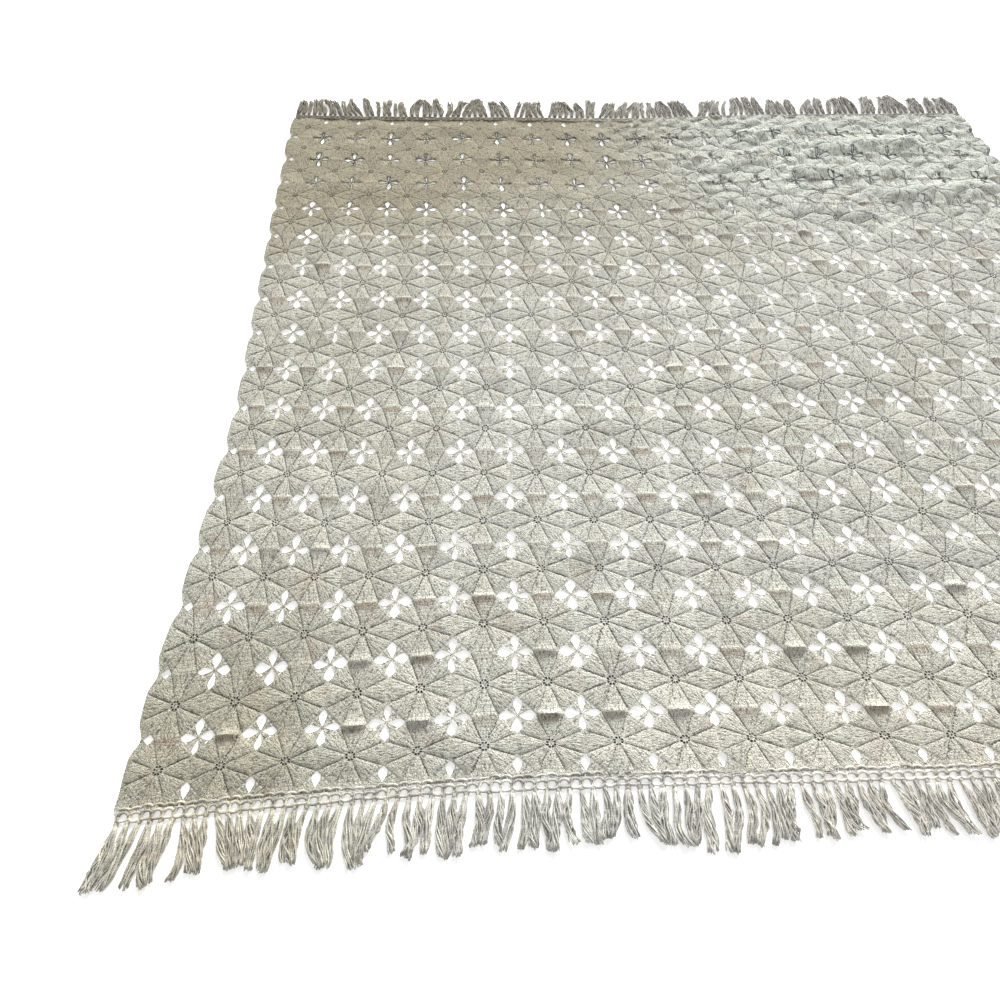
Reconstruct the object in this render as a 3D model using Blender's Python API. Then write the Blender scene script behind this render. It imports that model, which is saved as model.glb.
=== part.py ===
"""Crochet bedspread, laid out on a flat surface.

The field is one cloth of octagon medallions in columns and rows, with a star-shaped gap wherever four of them
meet. Both short ends are plain and scalloped. A knotted fringe runs along each long side.

Metres, +Z up. +X runs along the length, +Y across the width from the near fringe to the far one. The origin is
the centre of the bounding box, on the surface that the cloth lies on.
"""
import math
import random

import bmesh
import bpy
from mathutils import Vector

# ---- the cloth as it is made, before it is laid out ----
PITCH = 0.125                # across one medallion, from seam to seam
COLUMNS = 20                 # medallions along the length
ROWS = 17                    # medallions across the width
CLOTH = 0.003                # thickness of the crochet

# In pitches, as are all the places (u, v) below: u along the length and v across it, from the near left corner.
HALF_SIDE = 0.5 * math.tan(math.pi / 8)       # half a side of a medallion
GAP_REACH = 0.5 - HALF_SIDE                   # from the middle of a star gap to each of its corners
NOTCH = 0.09                                  # depth of the notch between two scallops of a plain end
EDGING = 0.06                                 # plain crocheted edging along each long side

# ---- the fringe ----
TASSELS_PER_MEDALLION = 6
TASSELS = TASSELS_PER_MEDALLION * COLUMNS
TASSEL_HALF_WIDTH = 0.005
BUNCH_SIZES = (2, 3, 3, 3, 4)                 # tassels that lie together, taken at random
SEAM_GAP = 0.0004                             # between the edging and the fringe heading
SLIT = 0.003                                  # least width left between two bunches
HEADING_HEIGHT = 0.003
BUNCH_HEIGHTS = (0.003, 0.007, 0.005)         # at the knots, half way down and at the tips
LEAN_PLACES = (0, 0.5, 1.2, 3, 6, 10, 14, 20)  # columns at which the lean of the tassels is given
FRINGES = (
    {"name": "fringe_near", "line": -EDGING, "way": -1, "heading": 0.020, "length": 0.096, "uneven": 0.010,
     "lean": (-0.39, -0.38, 0.15, -0.15, -0.08, 0.02, 0.14, 0.08), "stray": 0.10, "tip_share": 0.78, "seed": 11},
    {"name": "fringe_far", "line": ROWS + EDGING, "way": 1, "heading": 0.012, "length": 0.103, "uneven": 0.012,
     "lean": (-0.10, -0.09, -0.06, 0.00, 0.05, 0.05, 0.00, 0.00), "stray": 0.28, "tip_share": 0.74, "seed": 23},
)

# ---- how the cloth lies ----
# Each line along the cloth has slid along X and been pushed along Y, in millimetres, at six places along it.
PLACES = (0, 3, 6, 10, 14, 20)
LINES = (
    {"line": 0.0, "slide": (6, -10, -8, 10, 22, 26), "push": (-2, 22, 40, 44, 46, 44)},
    {"line": 1.0, "slide": (11, -10, -6, 9, 24, 28), "push": (-17, 0, 18, 24, 20, 18)},
    {"line": 2.0, "slide": (17, -9, -8, 6, 18, 20), "push": (-22, -4, 14, 12, 14, 12)},
    {"line": 3.0, "slide": (27, -8, -8, 6, 20, 20), "push": (-8, -9, 7, 6, 15, 15)},
    {"line": 4.5, "slide": (38, -2, -10, 5, 9, 10), "push": (-2, -8, -5, -8, 3, 5)},
    {"line": 7.0, "slide": (46, 12, -4, 4, 4, 4), "push": (3, -4, -5, -9, 8, 8)},
    {"line": 10.0, "slide": (30, 15, 3, 0, 4, 0), "push": (5, -1, -3, -4, 6, 8)},
    {"line": 13.0, "slide": (14, -1, -6, -20, -28, -45), "push": (19, 13, 6, -6, 10, 12)},
    {"line": 16.0, "slide": (2, -17, -22, -40, -64, -85), "push": (18, 3, 4, -13, 6, 12)},
    {"line": 17.0, "slide": (4, -20, -27, -44, -68, -90), "push": (0, -14, -20, -30, -12, -8)},
)

# Soft ridges where the cloth is bunched up, from end to end, with the height and half width in metres.
RUMPLES = (
    {"start": (13.2, 15.9), "end": (15.6, 16.4), "height": 0.012, "half_width": 0.060},
    {"start": (12.0, 14.6), "end": (14.4, 15.6), "height": 0.010, "half_width": 0.055},
    {"start": (15.2, 15.3), "end": (17.8, 15.5), "height": 0.018, "half_width": 0.060},
    {"start": (14.2, 14.3), "end": (16.8, 14.2), "height": 0.014, "half_width": 0.055},
    {"start": (16.4, 13.3), "end": (19.0, 13.6), "height": 0.015, "half_width": 0.060},
    {"start": (13.6, 12.9), "end": (15.4, 12.7), "height": 0.009, "half_width": 0.055},
)

# Small folds that stand up on the seam between two medallions of a column: column, line and height in metres.
PUCKERS = (
    {"column": 1, "line": 1, "height": 0.009}, {"column": 3, "line": 1, "height": 0.009},
    {"column": 4, "line": 1, "height": 0.010}, {"column": 6, "line": 1, "height": 0.010},
    {"column": 7, "line": 1, "height": 0.008}, {"column": 8, "line": 1, "height": 0.009},
    {"column": 11, "line": 1, "height": 0.009}, {"column": 3, "line": 2, "height": 0.008},
    {"column": 6, "line": 2, "height": 0.008}, {"column": 10, "line": 2, "height": 0.010},
    {"column": 11, "line": 2, "height": 0.008}, {"column": 4, "line": 2, "height": 0.007},
    {"column": 13, "line": 3, "height": 0.008}, {"column": 15, "line": 2, "height": 0.008},
    {"column": 17, "line": 5, "height": 0.008}, {"column": 2, "line": 4, "height": 0.006},
)
PUCKER_HALF_LENGTH = 0.10     # in pitches, along the seam
PUCKER_HALF_WIDTH = 0.0135
LEVEL = 0.0005                # a spot that rises less than this stays in the flat triangles around it

COTTON = (0.62, 0.58, 0.47, 1.0)
FRINGE_COTTON = (0.60, 0.56, 0.46, 1.0)
COTTON_ROUGHNESS = 0.9


def smooth_between(stations, values, at):
    """Value at a place between stations, on a curve through all of them, held level past the ends."""
    if at <= stations[0]:
        return values[0]
    if at >= stations[-1]:
        return values[-1]
    k = max(i for i in range(len(stations) - 1) if stations[i] <= at)

    def slope(i):
        low = max(i - 1, 0)
        high = min(i + 1, len(stations) - 1)
        return (values[high] - values[low]) / (stations[high] - stations[low])

    span = stations[k + 1] - stations[k]
    t = (at - stations[k]) / span
    blend = t * t * (3.0 - 2.0 * t)
    leave = t * (1.0 - t) ** 2 * slope(k)
    arrive = t * t * (t - 1.0) * slope(k + 1)
    return values[k] * (1.0 - blend) + values[k + 1] * blend + span * (leave + arrive)


def moved(kind, u, v):
    """How far the cloth at (u, v) has slid or been pushed, in metres."""
    lines = [row["line"] for row in LINES]
    at_line = [smooth_between(PLACES, row[kind], u) for row in LINES]
    return smooth_between(lines, at_line, v) / 1000.0


def ridge_height(u, v, start, end, height, half_width):
    """Height of one soft ridge at (u, v), from the distance to the line along its crest."""
    crest = Vector(end) - Vector(start)
    away = Vector((u, v)) - Vector(start)
    along = min(max(away.dot(crest) / crest.length_squared, 0.0), 1.0)
    distance = (away - along * crest).length * PITCH
    if distance >= half_width:
        return 0.0
    return height * math.cos(0.5 * math.pi * distance / half_width) ** 2


def rise(u, v):
    """Height of the cloth's underside above the surface."""
    heights = [0.0]
    for ridge in RUMPLES:
        heights.append(ridge_height(u, v, ridge["start"], ridge["end"], ridge["height"], ridge["half_width"]))
    for pucker in PUCKERS:
        middle = pucker["column"] + 0.5
        start = (middle - PUCKER_HALF_LENGTH, pucker["line"])
        end = (middle + PUCKER_HALF_LENGTH, pucker["line"])
        heights.append(ridge_height(u, v, start, end, pucker["height"], PUCKER_HALF_WIDTH))
    return max(heights)


def lay(u, v):
    """Where the underside of the cloth at (u, v) lies."""
    x = u * PITCH + moved("slide", u, v)
    y = v * PITCH + moved("push", u, v)
    return Vector((x, y, rise(u, v)))


def stands_up(u, v):
    return rise(u, v) > LEVEL


class Cloth:
    """A sheet made from flat faces: each spot has one point on its underside and one on its top."""

    def __init__(self):
        self.mesh = bmesh.new()
        self.spots = {}
        self.faces = []

    def spot(self, key, underside, thickness):
        if key not in self.spots:
            low = self.mesh.verts.new(underside)
            high = self.mesh.verts.new(underside + Vector((0.0, 0.0, thickness)))
            self.spots[key] = (low, high)
        return key

    def face(self, keys):
        """Keys run counterclockwise as seen from above."""
        self.faces.append(tuple(keys))

    def close(self, name, material):
        """Makes both sides and the walls round every edge that only one face uses."""
        edges = {}
        for keys in self.faces:
            self.mesh.faces.new([self.spots[key][1] for key in keys])
            self.mesh.faces.new([self.spots[key][0] for key in reversed(keys)])
            for first, second in zip(keys, keys[1:] + keys[:1]):
                edges[(first, second)] = True
        for first, second in edges:
            if (second, first) in edges:
                continue
            low_a, high_a = self.spots[first]
            low_b, high_b = self.spots[second]
            self.mesh.faces.new((low_a, low_b, high_b, high_a))
        data = bpy.data.meshes.new(name)
        self.mesh.to_mesh(data)
        self.mesh.free()
        data.materials.append(material)
        piece = bpy.data.objects.new(name, data)
        bpy.context.scene.collection.objects.link(piece)
        return piece


def medallion_outline(column, row):
    """The eight corners of one medallion, with the middle of any side that a fold lifts."""
    u = column + 0.5
    v = row + 0.5
    outline = []
    for side in range(4):
        turn = side * math.pi / 2
        across = Vector((math.cos(turn), math.sin(turn)))
        onward = Vector((-math.sin(turn), math.cos(turn)))
        middle = Vector((u, v)) + 0.5 * across
        outline.append(middle - HALF_SIDE * onward)
        if stands_up(*middle):
            outline.append(middle)
        outline.append(middle + HALF_SIDE * onward)
    return outline


def make_field(material):
    cloth = Cloth()

    def spot(u, v):
        key = (round(u, 4), round(v, 4))
        return cloth.spot(key, lay(u, v), CLOTH)

    for column in range(COLUMNS):
        for row in range(ROWS):
            ring = [spot(*place) for place in medallion_outline(column, row)]
            centre = (column + 0.5, row + 0.5)
            lifted = len(ring) > 8 or stands_up(*centre) or any(stands_up(*key) for key in ring)
            middle = spot(*centre) if lifted else ring[0]
            for first, second in zip(ring, ring[1:] + ring[:1]):
                if middle not in (first, second):
                    cloth.face((middle, first, second))

    # The half gaps along both long sides are worked shut, and the edging runs past them.
    for inner, outer in ((0, -EDGING), (ROWS, ROWS + EDGING)):
        into = 1 if inner == 0 else -1
        corners = [0.0]
        for column in range(COLUMNS):
            corners += [column + GAP_REACH, column + 1 - GAP_REACH]
        corners.append(float(COLUMNS))
        for left, right in zip(corners, corners[1:]):
            strip = [spot(left, outer), spot(right, outer), spot(right, inner), spot(left, inner)]
            cloth.face(strip if into > 0 else reversed(strip))
        for line in range(COLUMNS + 1):
            left = spot(max(line - GAP_REACH, 0.0), inner)
            right = spot(min(line + GAP_REACH, float(COLUMNS)), inner)
            tip = spot(line, inner + into * GAP_REACH)
            closing = (left, right, tip)
            cloth.face(closing if into > 0 else reversed(closing))

    # The half gaps at the plain ends are closed as far out as the notch between two scallops.
    for end, into in ((0, 1), (COLUMNS, -1)):
        for line in range(1, ROWS):
            notch = spot(end + into * NOTCH, line)
            inner = spot(end + into * GAP_REACH, line)
            below = spot(end, line - GAP_REACH)
            above = spot(end, line + GAP_REACH)
            for closing in ((notch, below, inner), (notch, inner, above)):
                cloth.face(closing if into > 0 else reversed(closing))
    return cloth.close("lace_field", material)


def bunches(fringe):
    """The tassels in groups that lie together, with each group's edges at the knots, half way and at the tips."""
    draw = random.Random(fringe["seed"])
    groups = []
    first = 0
    while first < TASSELS:
        count = min(draw.choice(BUNCH_SIZES), TASSELS - first)
        if TASSELS - first - count == 1:
            count += 1
        last = first + count - 1
        left = (first + 0.5) / TASSELS_PER_MEDALLION
        right = (last + 0.5) / TASSELS_PER_MEDALLION
        lean = smooth_between(LEAN_PLACES, fringe["lean"], 0.5 * (left + right))
        lean += draw.uniform(-fringe["stray"], fringe["stray"])
        length = fringe["length"] + draw.uniform(-1.0, 1.0) * fringe["uneven"]
        knots = (left * PITCH - TASSEL_HALF_WIDTH, right * PITCH + TASSEL_HALF_WIDTH)
        half_tip = 0.5 * (knots[1] - knots[0]) * fringe["tip_share"]
        tip = 0.5 * (knots[0] + knots[1]) + lean * length
        groups.append({"knots": knots, "tips": (tip - half_tip, tip + half_tip), "length": length,
                       "tassels": (first, last)})
        first = last + 1
    for before, after in zip(groups, groups[1:]):
        short = before["tips"][1] + SLIT - after["tips"][0]
        if short > 0.0:
            after["tips"] = (after["tips"][0] + short, after["tips"][1] + short)
    return groups


def make_fringe(fringe, material):
    """One comb: the knotted heading, with a tooth for each bunch of tassels."""
    comb = Cloth()
    way = fringe["way"]

    def spot(name, along, outward, height):
        """A point of the comb, by its distance along the cloth and outward from the edging."""
        on_edge = lay(along / PITCH, fringe["line"])
        place = Vector((on_edge.x, on_edge.y + way * outward, 0.0))
        return comb.spot((name, round(along, 5)), place, height)

    def turned(keys):
        return keys if way < 0 else reversed(keys)

    back_before = None
    root_before = None
    for group in bunches(fringe):
        left, right = group["knots"]
        backs = [spot("back", along, SEAM_GAP, HEADING_HEIGHT) for along in (left, right)]
        roots = [spot("root", along, fringe["heading"], HEADING_HEIGHT) for along in (left, right)]
        if back_before is not None:
            comb.face(turned((root_before, roots[0], backs[0], back_before)))
        comb.face(turned((roots[0], roots[1], backs[1], backs[0])))
        row = roots
        for share, height in zip((0.5, 1.0), BUNCH_HEIGHTS[1:]):
            outward = fringe["heading"] + share * group["length"]
            edges = [knot + share * (tip - knot) for knot, tip in zip(group["knots"], group["tips"])]
            further = [spot("tassel %d %.1f" % (group["tassels"][0], share), along, outward, height)
                       for along in edges]
            comb.face(turned((further[0], further[1], row[1], row[0])))
            row = further
        back_before = backs[1]
        root_before = roots[1]
    return comb.close(fringe["name"], material)


def cotton(name, colour):
    material = bpy.data.materials.new(name)
    material.use_nodes = True
    shader = material.node_tree.nodes["Principled BSDF"]
    shader.inputs["Base Color"].default_value = colour
    shader.inputs["Roughness"].default_value = COTTON_ROUGHNESS
    shader.inputs["Metallic"].default_value = 0.0
    return material


def centre_on_surface(pieces):
    """Moves every piece so that the box around them all is centred on the origin, with its bottom at zero."""
    corners = [vertex.co for piece in pieces for vertex in piece.data.vertices]
    low = Vector([min(corner[axis] for corner in corners) for axis in range(3)])
    high = Vector([max(corner[axis] for corner in corners) for axis in range(3)])
    shift = Vector((-0.5 * (low.x + high.x), -0.5 * (low.y + high.y), -low.z))
    for piece in pieces:
        for vertex in piece.data.vertices:
            vertex.co += shift


for leftover in list(bpy.data.objects):
    bpy.data.objects.remove(leftover)

made = [make_field(cotton("crochet_cotton", COTTON))]
for each in FRINGES:
    made.append(make_fringe(each, cotton(each["name"] + "_cotton", FRINGE_COTTON)))
centre_on_surface(made)
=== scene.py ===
import math
import random

import bmesh
import bpy
import numpy as np
from mathutils import Matrix, Vector


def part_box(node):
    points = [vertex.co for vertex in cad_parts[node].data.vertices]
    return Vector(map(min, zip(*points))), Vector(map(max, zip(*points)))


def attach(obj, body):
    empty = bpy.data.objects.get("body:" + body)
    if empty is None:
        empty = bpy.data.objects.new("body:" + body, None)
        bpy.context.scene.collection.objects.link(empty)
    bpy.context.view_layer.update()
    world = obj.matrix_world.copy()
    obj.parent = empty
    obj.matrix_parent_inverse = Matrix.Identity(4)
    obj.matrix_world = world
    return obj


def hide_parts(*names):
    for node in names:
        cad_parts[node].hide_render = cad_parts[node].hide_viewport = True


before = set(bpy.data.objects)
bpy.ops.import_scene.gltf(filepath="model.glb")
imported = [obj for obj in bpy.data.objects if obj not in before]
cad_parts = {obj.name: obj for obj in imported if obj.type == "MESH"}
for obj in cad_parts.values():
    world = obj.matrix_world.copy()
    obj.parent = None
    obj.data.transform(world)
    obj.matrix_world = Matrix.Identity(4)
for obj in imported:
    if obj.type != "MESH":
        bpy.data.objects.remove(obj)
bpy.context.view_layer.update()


# Camera and light. The spread lies on a plain pale floor and is seen from above its near side, looking down and
# across it. Broad soft light comes in low over the far fringe, so every fold is brighter on its far slope.
camera = bpy.data.objects.new("camera", bpy.data.cameras.new("camera"))
camera.data.lens = 18.59
camera.data.sensor_width = 36.0
camera.data.clip_end = 50.0
camera.matrix_world = (Matrix.Translation((-0.5500, -0.9673, 1.0971))
                       @ Matrix.Rotation(math.radians(-1.34), 4, "Z")
                       @ Matrix.Rotation(math.radians(25.193), 4, "X")
                       @ Matrix.Rotation(math.radians(0.53), 4, "Z"))
bpy.context.scene.collection.objects.link(camera)
bpy.context.scene.camera = camera

window_light = bpy.data.lights.new("window_light", "SUN")
window_light.energy = 5.2
window_light.angle = math.radians(24)
window_light.color = (1.0, 0.99, 0.965)
window = bpy.data.objects.new("window_light", window_light)
window.rotation_euler = Vector((-0.30, -0.87, -0.42)).to_track_quat("-Z", "Y").to_euler()
bpy.context.scene.collection.objects.link(window)

world = bpy.data.worlds.new("studio")
world.use_nodes = True
world.node_tree.nodes["Background"].inputs["Color"].default_value = (1.0, 1.0, 1.0, 1.0)
world.node_tree.nodes["Background"].inputs["Strength"].default_value = 0.62
bpy.context.scene.world = world
bpy.context.scene.view_settings.view_transform = "Standard"

FLOOR_HALF_SIDE = 12.0
FLOOR_DROP = 0.0003                           # a hair below the cloth
floor_mesh = bpy.data.meshes.new("floor")
floor_mesh.from_pydata([(x * FLOOR_HALF_SIDE, y * FLOOR_HALF_SIDE, -FLOOR_DROP)
                        for x, y in ((-1, -1), (1, -1), (1, 1), (-1, 1))], [], [(0, 1, 2, 3)])
floor = bpy.data.objects.new("floor", floor_mesh)
bpy.context.scene.collection.objects.link(floor)
floor_paint = bpy.data.materials.new("floor_paint")
floor_paint.use_nodes = True
for socket, value in (("Base Color", (0.96, 0.96, 0.96, 1.0)), ("Roughness", 0.9), ("Specular IOR Level", 0.1),
                      ("Emission Color", (1.0, 1.0, 1.0, 1.0)), ("Emission Strength", 0.35)):
    floor_paint.node_tree.nodes["Principled BSDF"].inputs[socket].default_value = value
floor_mesh.materials.append(floor_paint)


# The medallions. Each one is a cotton octagon, crocheted from the middle outward in eight sectors with an open
# line between sectors, and joined to its four neighbours. Where four meet, their diagonal sides run on as pointed
# lobes that end in double threads, tied in the middle of the star gap, so that four petal-shaped holes are left.
PITCH = 0.125                                 # across one medallion, from seam to seam
COLUMNS = 20
ROWS = 17
CLOTH = 0.003                                 # thickness of the crochet
HALF_SIDE = 0.5 * math.tan(math.pi / 8)       # half a side of a medallion, in pitches as all below
NOTCH = 0.09                                  # depth of the notch between two scallops of a plain end
EDGING = 0.06                                 # plain crocheted edging along each long side
END_ROW = 0.012                               # one closing row round the plain ends

# How it was laid: millimetres that each line of joins slides along and is pushed across, at these columns.
PLACES = (0, 3, 6, 10, 14, 20)
LINES = (
    {"line": 0.0, "slide": (6, -10, -8, 10, 22, 26), "push": (-2, 22, 40, 44, 46, 44)},
    {"line": 1.0, "slide": (11, -10, -6, 9, 24, 28), "push": (-17, 0, 18, 24, 20, 18)},
    {"line": 2.0, "slide": (17, -9, -8, 6, 18, 20), "push": (-22, -4, 14, 12, 14, 12)},
    {"line": 3.0, "slide": (27, -8, -8, 6, 20, 20), "push": (-8, -9, 7, 6, 15, 15)},
    {"line": 4.5, "slide": (38, -2, -10, 5, 9, 10), "push": (-2, -8, -5, -8, 3, 5)},
    {"line": 7.0, "slide": (46, 12, -4, 4, 4, 4), "push": (3, -4, -5, -9, 8, 8)},
    {"line": 10.0, "slide": (30, 15, 3, 0, 4, 0), "push": (5, -1, -3, -4, 6, 8)},
    {"line": 13.0, "slide": (14, -1, -6, -20, -28, -45), "push": (19, 13, 6, -6, 10, 12)},
    {"line": 16.0, "slide": (2, -17, -22, -40, -64, -85), "push": (18, 3, 4, -13, 6, 12)},
    {"line": 17.0, "slide": (4, -20, -27, -44, -68, -90), "push": (0, -14, -20, -30, -12, -8)},
)
# Soft folds of the far right corner, as crest start and end in pitches, height and half width in metres.
RUMPLES = (
    ((13.2, 15.9), (15.6, 16.4), 0.012, 0.060),
    ((12.0, 14.6), (14.4, 15.6), 0.010, 0.055),
    ((15.2, 15.3), (17.8, 15.5), 0.018, 0.060),
    ((14.2, 14.3), (16.8, 14.2), 0.014, 0.055),
    ((16.4, 13.3), (19.0, 13.6), 0.015, 0.060),
    ((13.6, 12.9), (15.4, 12.7), 0.009, 0.055),
)
# Short puckers where a join between rows is tight: column, line and height in metres. Half sizes are in pitches
# along the join, and in metres across it.
PUCKERS = (
    (1, 1, 0.009), (3, 1, 0.009), (4, 1, 0.010), (6, 1, 0.010), (7, 1, 0.008), (8, 1, 0.009), (11, 1, 0.009),
    (3, 2, 0.008), (6, 2, 0.008), (10, 2, 0.010), (11, 2, 0.008), (4, 2, 0.007), (13, 3, 0.008), (15, 2, 0.008),
    (17, 5, 0.008), (2, 4, 0.006),
)
PUCKER_HALF_LENGTH = 0.10
PUCKER_HALF_WIDTH = 0.0135


def smooth_between(stations, values, at):
    """Values on a smooth curve through the stations; values may hold one column for each place asked for."""
    stations = np.asarray(stations, float)
    values = np.asarray(values, float)
    at = np.clip(np.asarray(at, float), stations[0], stations[-1])
    if values.ndim == 1:
        values = np.repeat(values[:, None], len(at), axis=1)
    numbers = np.arange(len(stations))
    before = np.maximum(numbers - 1, 0)
    after = np.minimum(numbers + 1, len(stations) - 1)
    slopes = (values[after] - values[before]) / (stations[after] - stations[before])[:, None]
    k = np.clip(np.searchsorted(stations, at, side="right") - 1, 0, len(stations) - 2)
    column = np.arange(len(at))
    span = stations[k + 1] - stations[k]
    t = (at - stations[k]) / span
    blend = t * t * (3.0 - 2.0 * t)
    leave = t * (1.0 - t) ** 2 * slopes[k, column]
    arrive = t * t * (t - 1.0) * slopes[k + 1, column]
    return values[k, column] * (1.0 - blend) + values[k + 1, column] * blend + span * (leave + arrive)


def ridge(u, v, start, end, height, half_width):
    """Height of a rounded ridge along a straight crest."""
    along = np.subtract(end, start)
    share = ((u - start[0]) * along[0] + (v - start[1]) * along[1]) / along.dot(along)
    share = np.clip(share, 0.0, 1.0)
    away = np.hypot(u - start[0] - share * along[0], v - start[1] - share * along[1]) * PITCH / half_width
    return np.where(away < 1.0, height * np.cos(0.5 * math.pi * np.minimum(away, 1.0)) ** 2, 0.0)


ripple_draw = random.Random(5)
RIPPLES = [(ripple_draw.uniform(0.7, 2.2), ripple_draw.uniform(0.0, math.tau), ripple_draw.uniform(0.0, math.tau))
           for ripple in range(9)]            # turns across two medallions, heading and start of each slight ripple
RIPPLE_HEIGHT = 0.0019
WRINKLES = [(ripple_draw.uniform(2.6, 5.2), ripple_draw.uniform(0.22, 0.78) * math.pi,
             ripple_draw.uniform(0.0, math.tau)) for wrinkle in range(5)]
WRINKLE_HEIGHT = 0.0060                       # of the sharp-creased wrinkles in the crumpled far right corner
TALLEST_JOIN = 0.0048
join_draw = np.random.default_rng(17)
JOIN_HEIGHTS = join_draw.uniform(0.0004, 1.0, (COLUMNS, ROWS + 1)) ** 1.6 * TALLEST_JOIN
JOIN_HALF_WIDTHS = (0.095, 0.058)             # on the near and far slope of a join, in pitches
SMOOTHED_SHARE = 0.70                         # of the relief that has gone where the cloth was pulled smooth


def eased_step(low, high, at):
    """From 0 to 1, smoothly, while the place goes from low to high."""
    share = np.clip((at - low) / (high - low), 0.0, 1.0)
    return share * share * (3.0 - 2.0 * share)


def smoothed_out(u, v):
    """Share of the worked relief that is left: the far left has been pulled almost smooth."""
    return 1.0 - SMOOTHED_SHARE * eased_step(11.5, 14.5, v) * (1.0 - eased_step(8.0, 12.0, u))


def crumpled_share(u, v):
    """How crumpled the cloth lies: fully in the far right corner, and hardly elsewhere."""
    return eased_step(9.5, 12.5, u + 0.35 * (v - 12.0)) * eased_step(10.6, 13.4, v)


def rise(u, v):
    """How far the cloth stands off the surface: rumples, puckers, raised joins, wrinkles and slight ripples."""
    height = np.zeros(len(u))
    for start, end, high, half_width in RUMPLES:
        height = np.maximum(height, ridge(u, v, start, end, high, half_width))
    for column, line, high in PUCKERS:
        start = (column + 0.5 - PUCKER_HALF_LENGTH, line)
        end = (column + 0.5 + PUCKER_HALF_LENGTH, line)
        height = np.maximum(height, ridge(u, v, start, end, high, PUCKER_HALF_WIDTH))
    ripple = np.zeros(len(u))
    for turns, heading, begin in RIPPLES:
        ripple += np.sin(turns * math.tau * (u * math.cos(heading) + v * math.sin(heading)) * 0.5 + begin)
    wrinkle = np.zeros(len(u))
    for turns, heading, begin in WRINKLES:
        wrinkle += 2.0 * np.abs(np.sin(0.5 * turns * math.pi * (u * math.cos(heading) + v * math.sin(heading))
                                       + begin + 0.9 * np.sin(1.7 * u + 0.9 * v))) - 1.0
    crumpled = crumpled_share(u, v) + 0.10
    column = np.clip(np.floor(u), 0, COLUMNS - 1).astype(int)
    line = np.clip(np.rint(v), 0, ROWS).astype(int)
    slope = np.where(v < line, JOIN_HALF_WIDTHS[0], JOIN_HALF_WIDTHS[1])
    join = JOIN_HEIGHTS[column, line] * np.exp(-((v - line) / slope) ** 2)
    join = join * (1.0 - eased_step(0.10, 0.25, np.abs(u - column - 0.5))) * (line > 0) * (line < ROWS)
    join = join * (1.0 + crumpled) * smoothed_out(u, v) ** 2
    return (np.maximum(height, join) + RIPPLE_HEIGHT * np.maximum(ripple / 2.0 + 0.6, 0.0)
            + WRINKLE_HEIGHT * crumpled * np.clip(wrinkle / 3.2 + 0.20, 0.0, 1.0))


def lay(u, v):
    """Where spots of the flat cloth lie, in metres, before the whole is centred."""
    u = np.asarray(u, float)
    v = np.asarray(v, float)

    def moved(kind):
        at_lines = np.array([smooth_between(PLACES, row[kind], u) for row in LINES])
        return smooth_between([row["line"] for row in LINES], at_lines, v) / 1000.0

    return np.stack((u * PITCH + moved("slide"), v * PITCH + moved("push"), rise(u, v)), axis=1)


corner_heights = np.array([row + 0.5 + way * HALF_SIDE for row in range(ROWS) for way in (-1, 1)])
corner_widths = np.array([column + 0.5 + way * HALF_SIDE for column in range(COLUMNS) for way in (-1, 1)])
field_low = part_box("lace_field")[0]
CENTRING = np.array((field_low.x - lay(np.zeros(len(corner_heights)), corner_heights)[:, 0].min(),
                     field_low.y - lay(corner_widths, np.full(len(corner_widths), -EDGING))[:, 1].min(), 0.0))

# One medallion, flat. ACROSS are places across a sector, from one open line to the next; the rounds are given by
# their distance from the middle to their straight sides.
ACROSS = (-1.0, -0.88, -0.66, -0.2, 0.2, 0.66, 0.88)
INNER_ACROSS = (-0.5, 0.5)
INNER_ROUNDS = (0.018, 0.044, 0.078)          # the starting ring, with a small hole before each open line
RING_HOLE = {"share": 0.86, "depth": 0.0023}  # size of its floor beside its mouth, and how deep it is
ROUNDS = (0.112, 0.180, 0.250, 0.320, 0.385, 0.435, 0.470, 0.5)
UNDERSIDE_ROUND = 0.28                        # the only other round on the underside, which is plain
# Half of a petal hole: distance from the middle of the star gap along its axis, and half width there.
PETAL = ((0.243, 0.050), (0.218, 0.071), (0.172, 0.072), (0.135, 0.059), (0.098, 0.041), (0.060, 0.023),
         (0.035, 0.011), (0.020, 0.0))
LOBE_ACROSS = (-1.0, -0.76, -0.24, 0.24, 0.76, 1.0)
LOBE_EYELETS = ((0, 1), (0, 3), (3, 2), (4, 2))     # row and place: two eyelets, and the slit between two threads


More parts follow.
